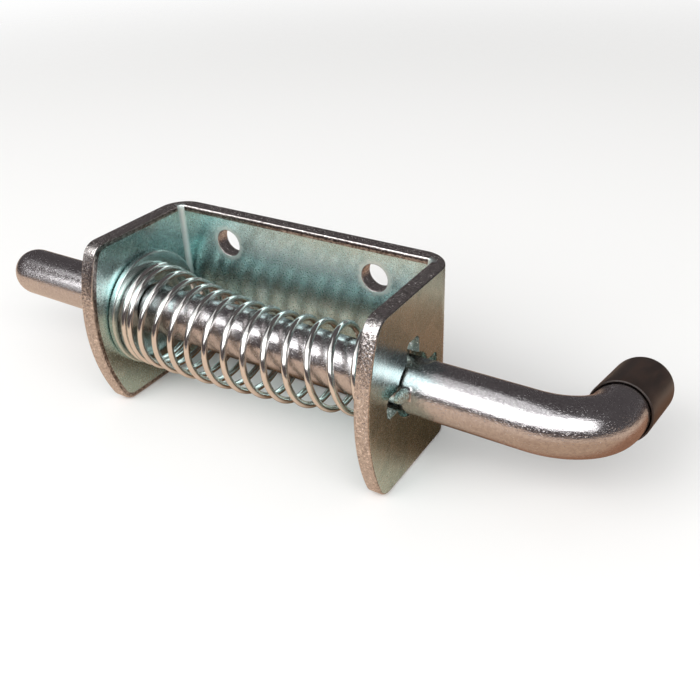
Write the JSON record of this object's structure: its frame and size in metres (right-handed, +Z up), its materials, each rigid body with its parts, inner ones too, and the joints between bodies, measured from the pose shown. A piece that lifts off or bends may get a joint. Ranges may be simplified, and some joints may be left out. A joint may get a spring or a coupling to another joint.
{
  "type": "spring bolt",
  "caption": "Spring-loaded sliding pin with a round tip and a bent, capped handle, carried in a folded U bracket with screw holes in its back plate.",
  "frame": {"origin": "centre of the bracket's flat mounting face, the back of the plate", "axes": "+X along the pin from its round tip to its handle, +Y out of the mounting face towards the wall or gate, +Z up"},
  "size_m": [0.1648, 0.0529, 0.0418],
  "materials": {
    "zinc_plate": "zinc plated with a pale blue-green passivation, satin",
    "zinc_bar": "zinc plated bar, satin with a fine grain",
    "washer_zinc": "zinc plated, smooth",
    "spring_wire": "bright drawn wire",
    "cap_plastic": "semi-matt dark plastic"
  },
  "bodies": {
    "bracket": {"bracket": "zinc_plate", "spring": "spring_wire"},
    "carriage": {"washer": "washer_zinc"},
    "bolt": {"bolt_rod": "zinc_bar", "handle_cap": "cap_plastic"}
  },
  "joints": [
    {"name": "bolt_slide", "type": "slide", "parent": "bracket", "child": "carriage", "axis": [1, 0, 0], "range_m": [0, 0.038], "stiffness_N_per_m": 550, "springref_m": -0.025, "deforming": ["spring"]},
    {"name": "handle_turn", "type": "hinge", "parent": "carriage", "child": "bolt", "pos_m": [0, -0.0188, 0], "axis": [1, 0, 0], "continuous": true}
  ]
}
